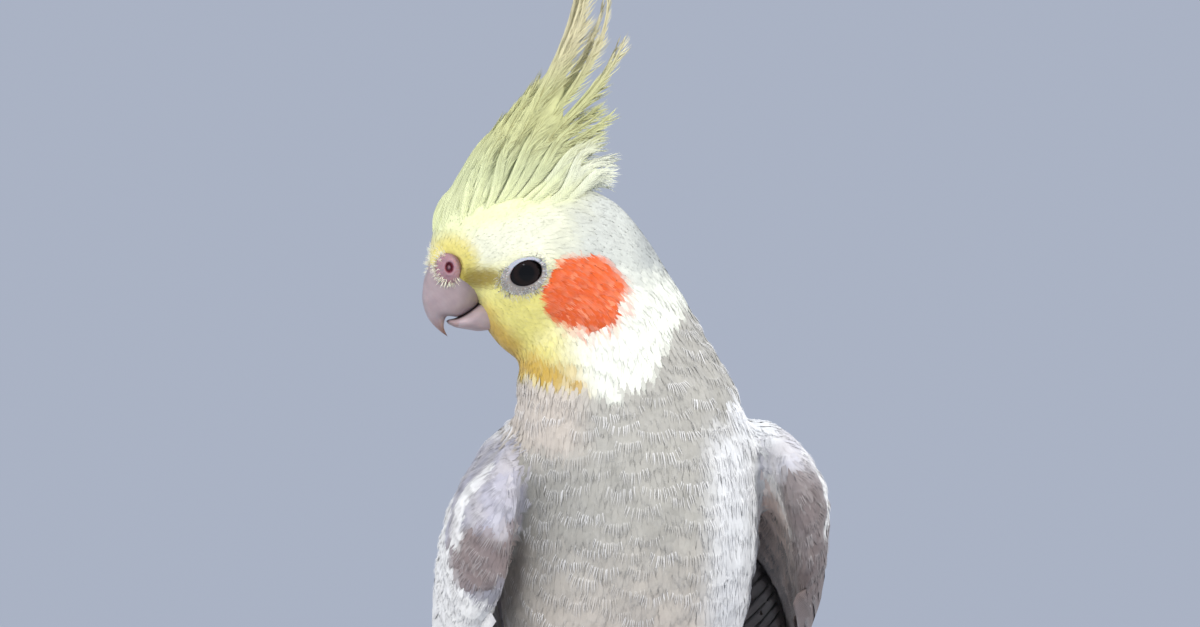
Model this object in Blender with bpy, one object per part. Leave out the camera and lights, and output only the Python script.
"""A life-size male cockatiel, standing upright on the floor with its head turned to its right.

All sizes below are in millimetres and all angles in degrees. The bird faces -Y, its left is +X
and up is +Z. Each named object is one part of the bird: the head carries the crest, each wing and
the tail carry their feathers, and the body is one shape parted by thin cuts.
"""

import math
from typing import NamedTuple

import bmesh
import bpy
import numpy as np
from mathutils import Vector

MM = 0.001

# The bird as a whole.
WING_LENGTH = 166.0
TAIL_LENGTH = 156.0
EYE_HEIGHT = 121.3
BODY_TURN = 9.0
HEAD_TURN = 80.0
GAP = 0.3
VANE_THICKNESS = 0.5
SHAFT_RISE = 0.15
COVERT_SHAFT_RISE = 0.08

# The head's middle, between the eyes, and the eyes themselves.
HEAD_CENTRE = (-23.0, -1.0, EYE_HEIGHT)
EYE_RADIUS = 4.5
EYE_OFFSET = 8.7
EYE_TILT = (12.0, 4.0)
LID_RING_RADIUS = 3.75
LID_RING_OUT = 3.25
LID_HALF_WIDTH = 0.8
LID_HALF_THICKNESS = 0.6
CERE_CENTRE = (14.0, 4.1, 1.2)
CERE_RADII = (2.6, 2.0, 2.8)
CERE_BRIDGE = ((14.9, 0.0, 4.0), (2.3, 4.0, 2.3))
# The nostril, from the middle of its swelling: forward, outward, up, and then its radii.
NOSTRIL_OFFSET = (0.2, 2.3, 0.2)
NOSTRIL_RADII = (0.8, 1.4, 1.1)
LID_STEPS = 18
LID_SIDES = 5

# Neck, torso and rump: across, back, up, half width, reach to the front, reach to the rear.
BODY_STATIONS = (
    (-6.2, 1.6, 125.0, 11.0, 7.5, 7.5),
    (-5.4, 1.4, 118.0, 15.9, 11.2, 11.2),
    (-3.8, 0.8, 110.0, 18.4, 14.4, 14.4),
    (-1.6, 0.0, 101.0, 21.6, 18.2, 17.8),
    (-0.3, -0.5, 92.0, 23.6, 22.3, 21.5),
    (0.6, 0.0, 82.0, 24.8, 26.0, 24.5),
    (0.7, 2.0, 71.0, 25.5, 28.5, 26.5),
    (0.0, 7.0, 59.5, 25.3, 29.0, 27.0),
    (-0.5, 14.0, 48.5, 23.9, 26.5, 26.0),
    (-0.3, 23.5, 39.5, 19.2, 21.0, 22.5),
    (0.0, 34.5, 32.5, 13.6, 14.5, 16.0),
    (0.0, 46.0, 28.0, 9.8, 9.0, 10.0),
    (0.0, 57.0, 24.6, 7.4, 5.8, 6.2),
    (0.0, 66.0, 21.8, 5.0, 3.6, 3.4),
)
BODY_RINGS = 22
BODY_SIDES = 20
# The domed ends: how far the top rises over the first ring, and how far the rump runs on.
BODY_TOP_RISE = 5.0
BODY_END_REACH = 2.0

# The head, from the forehead back to the nape: forward, lowest, widest level, highest, half width.
HEAD_STATIONS = (
    (17.6, 1.0, 3.2, 5.6, 1.7),
    (17.0, -1.2, 3.8, 8.8, 3.6),
    (15.0, -2.8, 4.6, 13.4, 5.6),
    (12.8, -3.6, 5.0, 15.4, 7.1),
    (10.2, -4.4, 5.0, 16.5, 8.4),
    (8.6, -5.4, 4.8, 17.0, 9.2),
    (7.2, -9.0, 4.4, 17.3, 9.8),
    (5.6, -12.4, 4.0, 17.5, 10.5),
    (2.0, -16.2, 3.0, 17.9, 11.7),
    (-3.0, -18.8, 1.5, 18.1, 12.8),
    (-9.0, -20.0, 0.0, 18.1, 13.8),
    (-15.0, -20.2, -1.2, 17.2, 14.2),
    (-21.0, -19.6, -3.0, 13.8, 13.5),
    (-26.5, -17.4, -5.0, 7.2, 11.3),
    (-30.5, -13.0, -6.0, 1.0, 7.0),
)
HEAD_RINGS = 21
HEAD_SIDES = 20
HEAD_FRONT = (18.0, 0.0, 3.4)
HEAD_REAR = (-32.0, 0.0, -6.0)

# The upper bill: culmen forward and up, cutting edge forward and up, half width.
UPPER_BILL_STATIONS = (
    (14.0, 6.0, 5.0, 0.0, 4.3),
    (18.0, 0.8, 7.6, -5.6, 4.9),
    (19.0, -3.4, 9.3, -7.3, 4.7),
    (18.9, -6.2, 11.6, -8.6, 4.0),
    (18.0, -8.7, 14.2, -8.6, 2.9),
    (16.8, -10.3, 14.8, -10.4, 1.8),
    (15.3, -11.7, 14.5, -11.6, 0.8),
)
# The forward and up of its root, hidden in the head, and of its tip.
UPPER_BILL_ROOT = (8.6, 4.4)
UPPER_BILL_TIP = (14.0, -12.6)
UPPER_BILL_RINGS = 11
# The lower bill: forward, top, bottom, half width.
LOWER_BILL_STATIONS = (
    (4.0, -5.0, -11.0, 3.6),
    (7.5, -5.8, -11.5, 3.9),
    (10.0, -7.6, -11.2, 3.7),
    (12.2, -8.8, -10.8, 2.9),
    (13.8, -9.2, -10.1, 1.5),
)
LOWER_BILL_ROOT = (3.0, -8.0)
LOWER_BILL_TIP = (14.3, -9.5)
LOWER_BILL_RINGS = 7
BILL_SIDES = 12

# The crest, front feather first: root forward, tip forward, tip up.
CREST_ROWS = (
    (12.4, -14.2, 56.2),
    (10.3, -16.6, 55.0),
    (8.2, -19.2, 54.0),
    (6.1, -21.0, 45.8),
    (4.0, -19.8, 39.4),
    (1.9, -18.9, 34.0),
    (-0.2, -18.2, 30.0),
    (-2.3, -17.0, 26.4),
    (-4.8, -19.8, 21.8),
)
CREST_HALF_WIDTH = 2.05
CREST_BEND = 7.0
CREST_CONTROL = 0.70
CREST_TURN = 36.0
# How far a feather stands out from the middle: at its root, at its tip, more towards the nape.
CREST_SPREAD = (1.6, 1.9, 1.2)
# The roots climb with the brow, from the first height to the second over this share of the rows.
CREST_ROOT_UP = (11.0, 15.5)
CREST_BROW_SHARE = 1 / 2.2
# The left feathers stand a little behind the right ones, so that no two of them cross.
CREST_LEFT_LAG = 1.0

# A folded wing's middle line, from the wrist to the tip: outward, back, up.
WING_LINE = ((24.5, -11.0, 79.0), (35.0, 12.0, 66.5), (22.0, 76.0, 36.0), (12.0, 147.0, 18.0))
# How far the wing leans in over the back, by its share of the way to the tip.
WING_ROLL = ((0.0, 0.18, 0.40, 0.65, 1.0), (16.0, 26.0, 44.0, 54.0, 56.0))
WING_ARC_RADIUS = (24.0, 60.0)
# How far each wing is held out and up from that line: the left one a little off the body.
WING_HELD = {-1: (0.0, 0.0), 1: (3.6, 2.6)}
# The wing's own body of small coverts: along, across, half across, out, half thickness.
WING_PAD_STATIONS = (
    (-1.5, 1.5, 5.0, 2.2, 2.2),
    (1.5, 1.0, 11.5, 2.3, 4.4),
    (7.0, 0.0, 17.0, 2.5, 6.0),
    (15.0, 0.0, 21.2, 2.5, 6.6),
    (26.0, 0.0, 23.5, 2.0, 6.0),
    (38.0, 0.0, 23.5, 1.4, 4.8),
    (47.0, 0.5, 22.0, 0.8, 3.4),
    (53.0, 1.0, 17.0, 0.4, 2.1),
    (56.5, 1.0, 9.0, 0.2, 1.0),
)
WING_PAD_START = (-3.0, 1.5, 2.2)
WING_PAD_END = (58.0, 1.0, 0.2)
WING_PAD_SIDES = 14
SHOULDER_CENTRE = (23.0, 7.0, 82.0)
SHOULDER_RADII = (10.0, 10.0, 10.5)
# How far past its sheet a wing's longest primary may reach.
WING_OVERHANG = 4.0

# The tail's middle line on the body, and how far each pair falls short of the longest.
TAIL_LINE = ((0.0, 36.0, 29.0), (0.0, 82.0, 19.5), (0.0, 136.0, 5.6), (0.0, 189.0, 0.9))
TAIL_SHORTFALL = (0.0, 22.0, 34.0, 44.0, 53.0, 62.0)
TAIL_SHEET_RADIUS = (60.0, 60.0)
RECTRIX_START = 6.0
RECTRIX_HALF_WIDTH = 5.6
# The middle pair parts a little at the tips. The outer pairs are narrower, stop short of the
# middle and fan out further with each pair.
MIDDLE_PAIR_PARTING = 1.2
OUTER_PAIR_NARROWING = 0.9
OUTER_PAIR_INNER_EDGE = 1.453
OUTER_PAIR_FAN = 2.457

# Legs: outward, back, up, half width, half depth, from the flank down to the ankle.
THIGH_STATIONS = (
    (10.5, 4.0, 50.0, 4.0, 4.5),
    (11.3, 2.0, 45.5, 8.2, 9.5),
    (12.0, 0.5, 38.5, 9.8, 11.6),
    (12.4, 0.5, 31.0, 8.9, 10.2),
    (12.3, 2.5, 24.5, 6.6, 7.2),
    (12.1, 4.8, 19.2, 4.0, 4.3),
    (12.0, 5.8, 16.4, 2.6, 2.7),
)
THIGH_TOP = (10.3, 4.5, 51.5)
TARSUS_STATIONS = (
    (11.9, 6.1, 15.9, 2.0, 2.1),
    (12.0, 4.8, 12.4, 1.6, 1.7),
    (12.2, 1.6, 7.4, 1.5, 1.6),
    (12.4, -0.8, 4.0, 1.9, 2.1),
    (12.4, -1.4, 1.2, 1.7, 1.9),
)
TOE_HUB = (12.4, -1.2)
TOE_RADIUS = 1.6
# Each toe: name, direction from straight ahead towards the outer side, length.
TOES = (
    ("inner_front", -17.0, 13.0),
    ("outer_front", 15.0, 17.5),
    ("inner_back", -152.0, 10.0),
    ("outer_back", 153.0, 14.5),
)
# A toe's root ring and the next: distance from the hub, height, share of the toe's radius.
TOE_ROOT = ((-0.7, 2.5, 1.0), (2.4, 1.9, 1.1))
# How much further out and up each next toe's root is set, so that no two rings lie in one place.
TOE_STAGGER = (0.01, 0.07)
TOE_JOINTS = (0.36, 0.56, 0.78, 1.0)
# A toe's pads swell between its joints, and the toe tapers towards its claw.
TOE_SWELL = 0.09
TOE_SWELL_RATE = 14.3
TOE_TAPER = 0.22
TOE_HEIGHT_SHARE = 0.82
# A claw: distance from its root, height, radius, and the height of its tip.
CLAW_LENGTH = 4.6
CLAW_STATIONS = ((0.0, 1.35, 0.95), (1.5, 1.75, 0.78), (3.0, 1.45, 0.48))
CLAW_TIP_HEIGHT = 0.30

# Thin cuts that part the body: a point and the direction of the part nearer the bill.
HEAD_CUT = ((-7.0, 0.0, 111.5), (-0.50, 0.0, 0.866))
NECK_CUT = ((0.0, 0.0, 92.0), (0.0, -0.10, 0.995))
RUMP_CUT = ((0.0, 39.5, 30.5), (0.0, -0.93, 0.37))

# Outlines of the feathers: shares of the way to the tip, and shares of the half width there.
FLIGHT_SHAPE = ((0.0, 0.30, 0.60, 0.86, 0.96, 1.0), (0.5, 0.9, 1.0, 0.78, 0.42, 0.10))
SECONDARY_SHAPE = ((0.0, 0.30, 0.66, 0.90, 1.0), (0.6, 1.0, 1.0, 0.68, 0.14))
COVERT_SHAPE = ((0.0, 0.40, 0.82, 1.0), (0.6, 1.0, 0.82, 0.16))
LANCE_SHAPE = ((0.0, 0.25, 0.60, 0.86, 1.0), (0.6, 1.0, 0.86, 0.44, 0.06))


class Tier(NamedTuple):
    """A row of feathers on a sheet, by distances along the sheet, across it and out from it."""

    name: str
    count: int
    start: float
    end: float
    across: float
    pitch: float
    half_width: float
    heights: tuple
    shape: tuple
    # How far each feather falls short of the row's end, and how far the tips drift together.
    shortfall: tuple = ()
    converge: float = 0.0
    shaft: float = COVERT_SHAFT_RISE


WING_TIERS = (
    Tier("primary", 8, 42.0, WING_LENGTH, -19.5, 3.0, 5.4, (-0.9, -1.0, -0.8, -0.4), FLIGHT_SHAPE,
         (10.0, 2.0, 0.0, 4.0, 11.0, 20.0, 30.0, 40.0), 9.0, SHAFT_RISE),
    Tier("secondary", 9, 36.0, 104.0, -12.0, 4.3, 6.6, (1.0, 3.5, 3.5, 3.1), SECONDARY_SHAPE,
         (11.0, 10.0, 8.0, 6.0, 4.0, 1.5, 0.0, 3.0, 10.0)),
    Tier("greater", 8, 25.0, 64.0, -12.0, 4.2, 5.2, (3.6, 6.4, 6.4, 6.0), COVERT_SHAPE),
    Tier("median", 7, 15.0, 44.0, -11.5, 4.6, 5.0, (5.0, 8.7, 9.0, 8.6), COVERT_SHAPE),
    Tier("wrist", 3, 12.0, 54.0, -20.0, 3.4, 3.6, (0.5, 2.6, 2.6, 2.2), COVERT_SHAPE, (0.0, 3.0, 7.0)),
)
TAIL_TIERS = (
    Tier("upper_covert", 5, 4.0, 48.0, -8.4, 4.2, 4.2, (2.0, 3.4, 3.0, 2.4), COVERT_SHAPE,
         (12.0, 4.0, 0.0, 4.0, 12.0)),
    Tier("under_covert", 5, 4.0, 46.0, -7.6, 3.8, 4.2, (-5.0, -8.6, -8.6, -8.4), COVERT_SHAPE,
         (12.0, 4.0, 0.0, 4.0, 12.0)),
)

GREY = (0.55, 0.54, 0.52)
PALE_GREY = (0.68, 0.67, 0.64)
SLATE = (0.36, 0.34, 0.34)
YELLOW = (0.88, 0.87, 0.50)
HORN = (0.52, 0.44, 0.44)
DARK_HORN = (0.28, 0.22, 0.21)
SKIN = (0.50, 0.42, 0.43)
EYE_BROWN = (0.015, 0.010, 0.010)


def clear_scene():
    for obj in list(bpy.data.objects):
        bpy.data.objects.remove(obj)


def smooth_rows(rows, count):
    """Rows of numbers read along a smooth curve through the given rows."""
    rows = np.array(rows, float)
    last = len(rows) - 1
    found = []
    for place in np.linspace(0, last, count):
        i = min(int(place), last - 1)
        f = place - i
        a, b, c, d = (rows[min(max(i + k, 0), last)] for k in (-1, 0, 1, 2))
        curve = 2 * b + (c - a) * f
        curve = curve + (2 * a - 5 * b + 4 * c - d) * f**2 + (3 * b - a - 3 * c + d) * f**3
        found.append(curve / 2)
    return np.array(found)


def bezier(controls, t):
    """A point on the Bezier curve with these control points."""
    points = [np.array(p, float) for p in controls]
    while len(points) > 1:
        points = [p + (q - p) * t for p, q in zip(points, points[1:])]
    return points[0]


def unit(vector):
    vector = np.array(vector, float)
    return vector / np.linalg.norm(vector)


def turned(point, degrees):
    """A point turned about the upright axis through the origin."""
    c, s = math.cos(math.radians(degrees)), math.sin(math.radians(degrees))
    x, y, z = point
    return np.array((x * c - y * s, x * s + y * c, z))


def on_body(point):
    return turned(point, BODY_TURN)


def on_head(forward, left, up):
    """A point given from the middle of the head, with the head turned to the bird's right."""
    angle = math.radians(HEAD_TURN)
    ahead = np.array((-math.sin(angle), -math.cos(angle), 0.0))
    side = np.array((math.cos(angle), -math.sin(angle), 0.0))
    return np.array(HEAD_CENTRE) + ahead * forward + side * left + np.array((0.0, 0.0, up))


def material(name, colour, roughness, metallic=0.0):
    made = bpy.data.materials.new(name)
    made.use_nodes = True
    shader = made.node_tree.nodes["Principled BSDF"]
    shader.inputs["Base Color"].default_value = (*colour, 1.0)
    shader.inputs["Roughness"].default_value = roughness
    shader.inputs["Metallic"].default_value = metallic
    made.diffuse_color = (*colour, 1.0)
    return made


def solid(name, points, faces):
    """An object from points in millimetres, with its faces made to point out."""
    mesh = bpy.data.meshes.new(name)
    mesh.from_pydata([Vector(p) * MM for p in points], [], faces)
    built = bmesh.new()
    built.from_mesh(mesh)
    if built.calc_volume(signed=True) < 0:
        bmesh.ops.reverse_faces(built, faces=built.faces)
    built.to_mesh(mesh)
    built.free()
    obj = bpy.data.objects.new(name, mesh)
    bpy.context.scene.collection.objects.link(obj)
    return obj


def loft(name, rings, start=None, end=None):
    """A closed shape through rings of equally many points, ended by flat caps or by pole points."""
    sides = len(rings[0])
    points = [p for ring in rings for p in ring]
    faces = []
    for k in range(len(rings) - 1):
        for i in range(sides):
            j = (i + 1) % sides
            a, b = k * sides + i, k * sides + j
            faces += [(a, b, b + sides), (a, b + sides, a + sides)]
    for pole, base in ((start, 0), (end, (len(rings) - 1) * sides)):
        rim = [base + i for i in range(sides)]
        if base == 0:
            rim.reverse()
        if pole is None:
            faces.append(tuple(rim))
            continue
        points.append(pole)
        faces += [(rim[i], rim[(i + 1) % sides], len(points) - 1) for i in range(sides)]
    return solid(name, points, faces)


def ring(centre, first, second, sides):
    """An oval ring round a centre, with its two half axes given as vectors."""
    centre, first, second = (np.array(v, float) for v in (centre, first, second))
    turns = [2 * math.pi * i / sides for i in range(sides)]
    return [centre + first * math.cos(turn) + second * math.sin(turn) for turn in turns]


def ellipsoid(name, centre, axes, steps=10):
    """A closed oval ball, with its three half axes given as vectors."""
    one, two, three = (np.array(a, float) for a in axes)
    rings = []
    for k in range(1, steps):
        angle = math.pi * k / steps
        middle = np.array(centre) + three * math.cos(angle)
        rings.append(ring(middle, one * math.sin(angle), two * math.sin(angle), 2 * steps))
    return loft(name, rings, np.array(centre) + three, np.array(centre) - three)


def boolean(obj, others, operation):
    """Joins or cuts an object with others in one step, and removes those others."""
    group = bpy.data.collections.new("operands")
    for other in others:
        bpy.context.scene.collection.objects.unlink(other)
        group.objects.link(other)
    bpy.context.scene.collection.children.link(group)
    modifier = obj.modifiers.new(operation.lower(), "BOOLEAN")
    modifier.operation = operation
    modifier.solver = "EXACT"
    modifier.operand_type = "COLLECTION"
    modifier.collection = group
    bpy.context.view_layer.update()
    graph = bpy.context.evaluated_depsgraph_get()
    result = bpy.data.meshes.new_from_object(obj.evaluated_get(graph))
    obj.modifiers.clear()
    obj.data = result
    for other in others:
        bpy.data.objects.remove(other)
    bpy.data.collections.remove(group)
    keep_largest(obj)
    return obj


def join(obj, others):
    return boolean(obj, others, "UNION")


def cut(obj, others):
    return boolean(obj, others, "DIFFERENCE")


def keep_largest(obj):
    """Keeps only the largest closed surface of a mesh."""
    mesh = bmesh.new()
    mesh.from_mesh(obj.data)
    waiting, groups = set(mesh.verts), []
    while waiting:
        reached = [waiting.pop()]
        group = []
        while reached:
            vert = reached.pop()
            group.append(vert)
            for edge in vert.link_edges:
                other = edge.other_vert(vert)
                if other in waiting:
                    waiting.remove(other)
                    reached.append(other)
        groups.append(group)
    groups.sort(key=extent_of)
    bmesh.ops.delete(mesh, geom=[v for group in groups[:-1] for v in group], context="VERTS")
    mesh.to_mesh(obj.data)
    mesh.free()


def extent_of(group):
    """The diagonal of the box round a group of points."""
    points = np.array([v.co for v in group])
    return float(np.linalg.norm(points.max(0) - points.min(0)))


def part_of(obj, name, planes):
    """A copy of a solid between planes, each given as a point, a direction that is kept and a gap."""
    mesh = bmesh.new()
    mesh.from_mesh(obj.data)
    for point, direction, gap in planes:
        direction = Vector(unit(direction))
        bmesh.ops.bisect_plane(
            mesh,
            geom=mesh.verts[:] + mesh.edges[:] + mesh.faces[:],
            dist=1e-7,
            plane_co=Vector(point) * MM + direction * gap * MM,
            plane_no=direction,
            clear_inner=True,
        )
        rim = [e for e in mesh.edges if e.is_boundary]
        bmesh.ops.holes_fill(mesh, edges=rim, sides=0)
    bmesh.ops.recalc_face_normals(mesh, faces=mesh.faces)
    data = bpy.data.meshes.new(name)
    mesh.to_mesh(data)
    mesh.free()
    made = bpy.data.objects.new(name, data)
    bpy.context.scene.collection.objects.link(made)
    return made


class Sheet:
    """A curved sheet that feathers lie on, with places given along it, across it and out from it."""

    SAMPLES = 120

    def __init__(self, line, outward, side, roll, radius):
        self.points = np.array([bezier(line, k / self.SAMPLES) for k in range(self.SAMPLES + 1)])
        steps = np.diff(self.points, axis=0)
        self.along = np.concatenate([[0.0], np.cumsum(np.linalg.norm(steps, axis=1))])
        self.length = self.along[-1]
        self.tangents = np.gradient(self.points, self.along, axis=0)
        self.outward, self.side, self.roll, self.radius = outward, side, roll, radius

    def place(self, along, across, out):
        share = min(max(along / self.length, 0.0), 1.0)
        inside = min(max(along, 0.0), self.length)
        point = np.array([np.interp(inside, self.along, c) for c in self.points.T])
        ahead = unit([np.interp(inside, self.along, c) for c in self.tangents.T])
        point = point + ahead * (along - inside)
        away = unit(self.outward - ahead * np.dot(self.outward, ahead))
        upward = np.cross(away, ahead) * self.side
        tilt = math.radians(np.interp(share, *self.roll))
        normal = away * math.cos(tilt) + upward * math.sin(tilt)
        lateral = upward * math.cos(tilt) - away * math.sin(tilt)
        bend = self.radius[0] + (self.radius[1] - self.radius[0]) * share
        angle = across / bend
        reach = bend + out
        sideways = lateral * reach * math.sin(angle)
        return on_body(point + sideways + normal * (reach * math.cos(angle) - bend))


def vane(name, place, half_width, shape, shaft=SHAFT_RISE):
    """One feather. The place function takes a share along, a distance across and a height."""
    edge = VANE_THICKNESS / 2
    outline = ((-1, edge), (0, edge + shaft), (1, edge), (1, -edge), (0, -edge - shaft), (-1, -edge))
    points = []
    for share, width in zip(*shape):
        points += [place(share, side * width * half_width, height) for side, height in outline]
    segments = len(shape[0]) - 1
    faces = [(5, 1, 0), (5, 4, 1), (4, 2, 1), (4, 3, 2)]
    for k in range(segments):
        base, ahead = 6 * k, 6 * (k + 1)
        for i in range(6):
            j = (i + 1) % 6
            a, b, c, d = base + i, base + j, ahead + j, ahead + i
            # The lower face is split along the same slant as the upper one.
            faces += [(a, b, c), (a, c, d)] if i < 3 else [(a, b, d), (b, c, d)]
    tip = 6 * segments
    faces += [(tip, tip + 1, tip + 5), (tip + 1, tip + 4, tip + 5)]
    faces += [(tip + 1, tip + 2, tip + 4), (tip + 2, tip + 3, tip + 4)]
    return solid(name, points, faces)


def lay_tier(row, sheet):
    """The feathers of a tier, each tilted so that its lower edge lies over the next one."""
    slope = (VANE_THICKNESS + 2 * row.shaft + GAP) / row.pitch
    made = []
    for i in range(row.count):
        tip = row.end - (row.shortfall[i] if row.shortfall else 0.0)
        middle = row.across + row.pitch * i

        def place(share, sideways, height, tip=tip, middle=middle):
            along = row.start + (tip - row.start) * share
            reached = (along - row.start) / (row.end - row.start)
            drift = row.converge * reached**2
            rise = np.interp(reached, np.linspace(0.0, 1.0, len(row.heights)), row.heights)
            return sheet.place(along, middle + drift + sideways, rise - slope * sideways + height)

        made.append(vane(f"{row.name}_{i}", place, row.half_width, row.shape, row.shaft))
    return made


def body_rings(grow):
    """Rings round the neck, torso and rump, each square to the body's middle line."""
    rows = smooth_rows(BODY_STATIONS, BODY_RINGS)
    centres = rows[:, :3]
    tangents = np.gradient(centres, axis=0)
    rings = []
    for centre, tangent, (half, front, rear) in zip(centres, tangents, rows[:, 3:]):
        tangent = unit(tangent * (0.3, 1.0, 1.0))
        side = np.array((1.0, 0.0, 0.0))
        fore = unit(np.cross(tangent, side))
        found = []
        for i in range(BODY_SIDES):
            angle = 2 * math.pi * i / BODY_SIDES
            reach = (front if math.sin(angle) < 0 else rear) + grow
            # The front of a ring points down the belly, towards -Y on the chest.
            across = side * (half + grow) * math.cos(angle)
            found.append(on_body(centre + across - fore * reach * math.sin(angle)))
        rings.append(found)
    return rings


def body_shape(name, grow=0.0):
    rings = body_rings(grow)
    first, last = np.mean(rings[0], axis=0), np.mean(rings[-1], axis=0)
    top = first + (0.0, 0.0, BODY_TOP_RISE + grow)
    rear = last + unit(last - np.mean(rings[-2], axis=0)) * (BODY_END_REACH + grow)
    return loft(name, rings, top, rear)


def head_shape(name):
    rings = []
    for forward, low, middle, high, half in smooth_rows(HEAD_STATIONS, HEAD_RINGS):
        found = []
        for i in range(HEAD_SIDES):
            angle = 2 * math.pi * i / HEAD_SIDES
            reach = (high if math.sin(angle) > 0 else low) - middle
            found.append(on_head(forward, half * math.cos(angle), middle + reach * abs(math.sin(angle))))
        rings.append(found)
    return loft(name, rings, on_head(*HEAD_FRONT), on_head(*HEAD_REAR))


def head_ellipsoid(name, centre, radii, steps=8):
    """An oval ball given in the head's own directions: forward, left, up."""
    middle = on_head(*centre)
    ahead = on_head(centre[0] + radii[0], centre[1], centre[2]) - middle
    side = on_head(centre[0], centre[1] + radii[1], centre[2]) - middle
    return ellipsoid(name, middle, (ahead, side, (0.0, 0.0, radii[2])), steps)


def lid_ring(side):
    """The bare ring of lid round one eye, tilted with the face and sunk into it."""
    ahead_tilt, up_tilt = (math.radians(t) for t in EYE_TILT)
    out = unit((math.tan(ahead_tilt), side, math.tan(up_tilt)))
    ahead = unit(np.array((1.0, 0.0, 0.0)) - out * out[0])
    above = unit(np.array((0.0, 0.0, 1.0)) - out * out[2] - ahead * ahead[2])
    centre = np.array((0.0, side * EYE_OFFSET, 0.0)) + out * LID_RING_OUT
    points, faces = [], []
    for k in range(LID_STEPS):
        turn = 2 * math.pi * k / LID_STEPS
        spoke = ahead * math.cos(turn) + above * math.sin(turn)
        for i in range(LID_SIDES):
            angle = 2 * math.pi * i / LID_SIDES
            reach = LID_RING_RADIUS + LID_HALF_WIDTH * math.cos(angle)
            rise = LID_HALF_THICKNESS * math.sin(angle)
            points.append(on_head(*(centre + spoke * reach + out * rise)))
            a, b = k * LID_SIDES + i, k * LID_SIDES + (i + 1) % LID_SIDES
            step = LID_SIDES if k < LID_STEPS - 1 else -LID_SIDES * (LID_STEPS - 1)
            faces.append((a, b, b + step, a + step))
    return solid("lid", points, faces)


def upper_bill(name, grow=0.0):
    rings = []
    for front, front_up, edge, edge_up, half in smooth_rows(UPPER_BILL_STATIONS, UPPER_BILL_RINGS):
        middle = on_head((front + edge) / 2, 0.0, (front_up + edge_up) / 2)
        reach = on_head(front, 0.0, front_up) - middle
        reach = reach * (1 + grow / np.linalg.norm(reach))
        side = on_head(0.0, half + grow, 0.0) - on_head(0.0, 0.0, 0.0)
        rings.append(ring(middle, reach, side, BILL_SIDES))
    root = on_head(UPPER_BILL_ROOT[0], 0.0, UPPER_BILL_ROOT[1] + grow)
    tip = on_head(UPPER_BILL_TIP[0] - grow, 0.0, UPPER_BILL_TIP[1] - grow)
    return loft(name, rings, root, tip)


def lower_bill(name, grow=0.0):
    rings = []
    for forward, top, bottom, half in smooth_rows(LOWER_BILL_STATIONS, LOWER_BILL_RINGS):
        middle = on_head(forward, 0.0, (top + bottom) / 2)
        side = on_head(forward, half + grow, (top + bottom) / 2) - middle
        rings.append(ring(middle, side, (0.0, 0.0, (top - bottom) / 2 + grow), BILL_SIDES))
    root = on_head(LOWER_BILL_ROOT[0] - grow, 0.0, LOWER_BILL_ROOT[1])
    tip = on_head(LOWER_BILL_TIP[0] + grow, 0.0, LOWER_BILL_TIP[1])
    return loft(name, rings, root, tip)


def crest_feathers():
    """The crest feather by feather, in pairs that lean out to each side of the crown."""
    made = []
    for row, (root_forward, tip_forward, tip_up) in enumerate(CREST_ROWS):
        back_share = row / (len(CREST_ROWS) - 1)
        root_up = np.interp(back_share, (0.0, CREST_BROW_SHARE), CREST_ROOT_UP)
        for side in (-1, 1):
            lag = CREST_LEFT_LAG if side > 0 else 0.0
            start = np.array((root_forward - lag, root_up))
            finish = np.array((tip_forward - 0.5 * lag, tip_up - lag))
            chord = finish - start
            lean = math.radians(CREST_BEND)
            c, s = math.cos(lean), math.sin(lean)
            bowed = np.array((chord[0] * c - chord[1] * s, chord[0] * s + chord[1] * c))
            knee = start + bowed * CREST_CONTROL
            near, far, rear = CREST_SPREAD
            spread = (near, far + rear * back_share)

            def place(share, sideways, height, start=start, knee=knee, finish=finish,
                      side=side, spread=spread):
                forward, up = bezier((start, knee, finish), share)
                ahead = unit(bezier((knee - start, finish - knee), share))
                turn = math.radians(CREST_TURN) * side
                back = np.array((-ahead[1], ahead[0]))
                flat = sideways * math.cos(turn) - height * math.sin(turn)
                left = side * (spread[0] + (spread[1] - spread[0]) * share)
                left += sideways * math.sin(turn) + height * math.cos(turn)
                return on_head(forward + back[0] * flat, left, up + back[1] * flat)

            made.append(vane(f"crest_{row}_{side}", place, CREST_HALF_WIDTH, LANCE_SHAPE))
    return made


def build_head(whole):
    head = part_of(whole, "head", [(*HEAD_CUT, GAP / 2)])
    forward, left, up = CERE_CENTRE
    added = crest_feathers() + [head_ellipsoid("bridge", *CERE_BRIDGE, 6)]
    for side in (-1, 1):
        added.append(lid_ring(side))
        added.append(head_ellipsoid("cere", (forward, side * left, up), CERE_RADII, 7))
    join(head, added)
    removed = [upper_bill("bill_pocket", GAP), lower_bill("jaw_pocket", GAP)]
    for side in (-1, 1):
        socket = (EYE_RADIUS + GAP,) * 3
        removed.append(head_ellipsoid("socket", (0.0, side * EYE_OFFSET, 0.0), socket, 8))
        ahead, outward, above = NOSTRIL_OFFSET
        nostril = (forward + ahead, side * (left + outward), up + above)
        removed.append(head_ellipsoid("nostril", nostril, NOSTRIL_RADII, 6))
    cut(head, removed)
    return head


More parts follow.
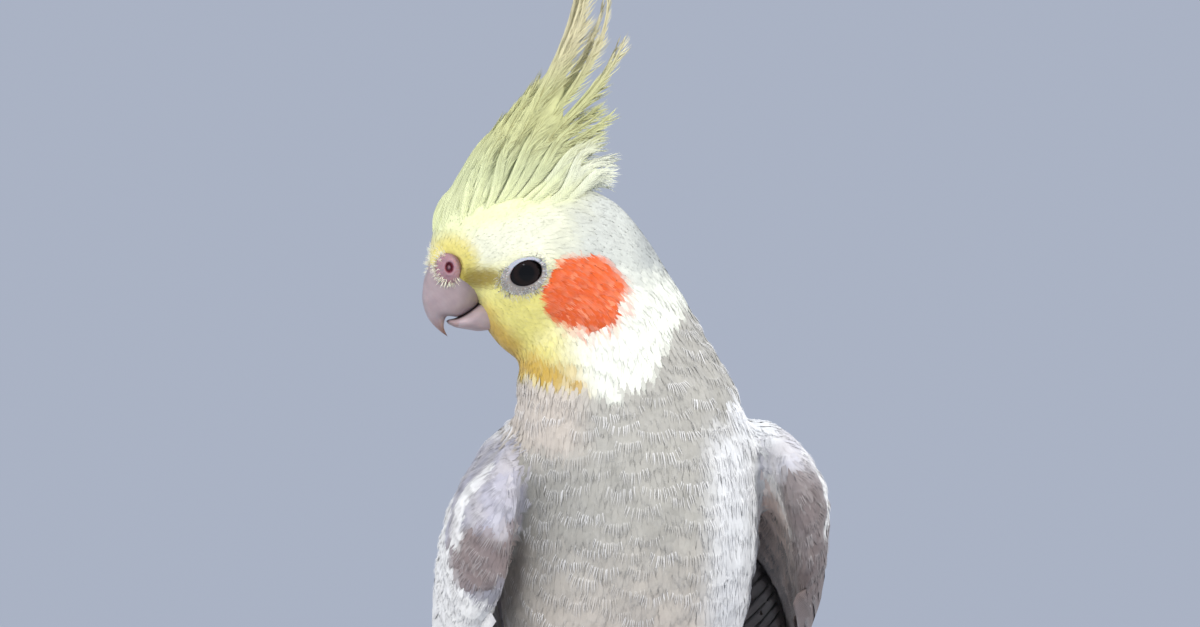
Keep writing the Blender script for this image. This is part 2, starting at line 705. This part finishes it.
def build_wing(name, side):
    """One folded wing: a pad of small coverts with the tiers of larger feathers rooted in it."""
    out, lift = WING_HELD[side]
    shares = (1.0, 1.0, 0.5, 0.0)
    line = [(side * (q + out * s), back, up + lift * s) for (q, back, up), s in zip(WING_LINE, shares)]
    outward = np.array((side, 0.0, 0.0))
    sheet = Sheet(line, outward, side, WING_ROLL, WING_ARC_RADIUS)
    rings = []
    for along, across, half, out, thick in smooth_rows(WING_PAD_STATIONS, 14):
        found = []
        for i in range(WING_PAD_SIDES):
            angle = 2 * math.pi * i / WING_PAD_SIDES
            c, s = math.cos(angle), math.sin(angle)
            c = math.copysign(abs(c) ** 0.8, c)
            found.append(sheet.place(along, across + half * c, out + thick * s))
        rings.append(found)
    pad = loft(name, rings, sheet.place(*WING_PAD_START), sheet.place(*WING_PAD_END))
    feathers = []
    for row in WING_TIERS:
        # Wing length is measured from the wrist, so the longest primary ends near the sheet's end.
        feathers += lay_tier(row._replace(end=min(row.end, sheet.length + WING_OVERHANG)), sheet)
    x, y, z = SHOULDER_CENTRE
    rx, ry, rz = SHOULDER_RADII
    shoulder = ellipsoid("shoulder", on_body((side * x, y, z)),
                         (on_body((rx, 0, 0)), on_body((0, ry, 0)), (0.0, 0.0, rz)), 7)
    join(pad, feathers + [shoulder])
    cut(pad, [body_shape("body_pocket", GAP)])
    return pad


def build_tail(whole):
    planes = [(RUMP_CUT[0], -np.array(RUMP_CUT[1]), GAP / 2)]
    rump = part_of(whole, "rump", planes)
    up = np.array((0.0, 0.0, 1.0))
    sheet = Sheet(TAIL_LINE, up, 1, ((0.0, 1.0), (0.0, 0.0)), TAIL_SHEET_RADIUS)
    pitch = VANE_THICKNESS + 2 * SHAFT_RISE + GAP
    feathers = []
    for side in (-1, 1):
        for pair, shortfall in enumerate(TAIL_SHORTFALL):
            reach = TAIL_LENGTH - shortfall - RECTRIX_START
            # The pairs lie in a stack under the middle one, whose right feather is the topmost.
            depth = -pitch * pair - (pitch if pair or side > 0 else 0.0)

            def place(share, sideways, height, side=side, pair=pair, reach=reach, depth=depth):
                across = side * MIDDLE_PAIR_PARTING * share + sideways
                if pair:
                    middle = OUTER_PAIR_INNER_EDGE + RECTRIX_HALF_WIDTH * OUTER_PAIR_NARROWING
                    middle += OUTER_PAIR_FAN * pair * share
                    across = side * middle + sideways * OUTER_PAIR_NARROWING
                spot = sheet.place(RECTRIX_START + reach * share, across, depth + height)
                spot[2] = max(spot[2], 0.0)
                return spot

            feathers.append(vane(f"rectrix_{side}_{pair}", place, RECTRIX_HALF_WIDTH, FLIGHT_SHAPE))
    for row in TAIL_TIERS:
        feathers += lay_tier(row, sheet)
    join(rump, feathers)
    tail = part_of(rump, "tail", planes)
    bpy.data.objects.remove(rump)
    return tail


def upright_rings(stations, side, count, sides):
    rings = []
    for outward, back, up, half_width, half_depth in smooth_rows(stations, count):
        centre = on_body((side * outward, back, up))
        across, along = on_body((half_width, 0, 0)), on_body((0, half_depth, 0))
        rings.append(ring(centre, across, along, sides))
    return rings


def toe_point(side, angle, distance, sideways, height):
    """A point on a toe, which runs out from the foot's hub at an angle from straight ahead."""
    turn = math.radians(angle) * side
    ahead = np.array((math.sin(turn), -math.cos(turn), 0.0))
    lateral = np.array((ahead[1], -ahead[0], 0.0))
    spot = np.array((side * TOE_HUB[0], TOE_HUB[1], height))
    spot = on_body(spot + ahead * distance + lateral * sideways)
    spot[2] = max(spot[2], 0.0)
    return spot


def toe_tube(name, side, angle, stations, sides=8, tip=None):
    rings = []
    for distance, height, radius in stations:
        found = []
        for i in range(sides):
            turn = 2 * math.pi * (i + 0.5) / sides
            found.append(toe_point(side, angle, distance, radius * math.cos(turn),
                                   height + radius * math.sin(turn)))
        rings.append(found)
    end = None if tip is None else toe_point(side, angle, *tip)
    return loft(name, rings, None, end)


def build_foot(name, side):
    foot = loft(name, upright_rings(TARSUS_STATIONS, side, 8, 10))
    toes = []
    for i, (label, angle, length) in enumerate(TOES):
        stations = [(ahead, height, TOE_RADIUS * share) for ahead, height, share in TOE_ROOT]
        ahead, height, radius = stations[0]
        stations[0] = (ahead + i * TOE_STAGGER[0], height + i * TOE_STAGGER[1], radius)
        for share in TOE_JOINTS:
            radius = TOE_RADIUS * (1.0 + TOE_SWELL * math.cos(share * TOE_SWELL_RATE) - TOE_TAPER * share)
            stations.append((length * share, TOE_HEIGHT_SHARE * radius, radius))
        toes.append(toe_tube(f"toe_{label}", side, angle, stations))
    join(foot, toes)
    return foot


def build_claw(name, side, angle, length):
    start = length + GAP
    stations = [(start + ahead, height, radius) for ahead, height, radius in CLAW_STATIONS]
    tip = (start + CLAW_LENGTH, 0.0, CLAW_TIP_HEIGHT)
    return toe_tube(name, side, angle, stations, tip=tip)


def build_thigh(name, side):
    rings = upright_rings(THIGH_STATIONS, side, 10, 14)
    outward, back, up = THIGH_TOP
    thigh = loft(name, rings, on_body((side * outward, back, up)))
    cut(thigh, [body_shape("body_pocket", GAP)])
    return thigh


def finish(obj, made_of):
    obj.data.materials.clear()
    obj.data.materials.append(made_of)
    obj.data.shade_smooth()
    obj.data.set_sharp_from_angle(angle=math.radians(40))


def centre_on_floor(objects):
    """Moves every part so that the middle of the bird's footprint is the origin."""
    points = np.array([v.co for obj in objects for v in obj.data.vertices])
    low, high = points.min(0), points.max(0)
    shift = Vector((-(low[0] + high[0]) / 2, -(low[1] + high[1]) / 2, -low[2]))
    for obj in objects:
        for vertex in obj.data.vertices:
            vertex.co += shift
    return shift


def build_bird():
    clear_scene()
    plumage = material("grey_plumage", PALE_GREY, 0.85)
    face = material("yellow_plumage", YELLOW, 0.85)
    wing_plumage = material("slate_plumage", GREY, 0.7)
    tail_plumage = material("tail_plumage", SLATE, 0.7)
    horn = material("bill_horn", HORN, 0.4)
    claw_horn = material("claw_horn", DARK_HORN, 0.4)
    skin = material("foot_skin", SKIN, 0.6)
    iris = material("eye", EYE_BROWN, 0.08)

    whole = body_shape("whole")
    join(whole, [head_shape("skull")])
    parts = {}
    parts["head"] = (build_head(whole), face)
    neck_planes = [(HEAD_CUT[0], -np.array(HEAD_CUT[1]), GAP / 2), (*NECK_CUT, GAP / 2)]
    parts["neck"] = (part_of(whole, "neck", neck_planes), plumage)
    torso_planes = [(NECK_CUT[0], -np.array(NECK_CUT[1]), GAP / 2), (*RUMP_CUT, GAP / 2)]
    parts["torso"] = (part_of(whole, "torso", torso_planes), plumage)
    parts["tail"] = (build_tail(whole), tail_plumage)
    bpy.data.objects.remove(whole)

    lower = lower_bill("bill_lower")
    cut(lower, [upper_bill("upper_pocket", GAP)])
    parts["bill_upper"] = (upper_bill("bill_upper"), horn)
    parts["bill_lower"] = (lower, horn)
    for word, side in (("right", -1), ("left", 1)):
        radii = (EYE_RADIUS,) * 3
        # The head is turned, but its left eye is still the one on its own left.
        eye = head_ellipsoid(f"eye_{word}", (0.0, side * EYE_OFFSET, 0.0), radii, 8)
        parts[eye.name] = (eye, iris)
        wing = build_wing(f"wing_{word}", side)
        parts[wing.name] = (wing, wing_plumage)
        thigh = build_thigh(f"thigh_{word}", side)
        parts[thigh.name] = (thigh, plumage)
        foot = build_foot(f"foot_{word}", side)
        parts[foot.name] = (foot, skin)
        for label, angle, length in TOES:
            claw = build_claw(f"claw_{word}_{label}", side, angle, length)
            parts[claw.name] = (claw, claw_horn)
    for obj, made_of in parts.values():
        finish(obj, made_of)
    shift = centre_on_floor([obj for obj, made_of in parts.values()])
    print("moved to the floor's middle by", [round(c / MM, 3) for c in shift], "mm")


build_bird()
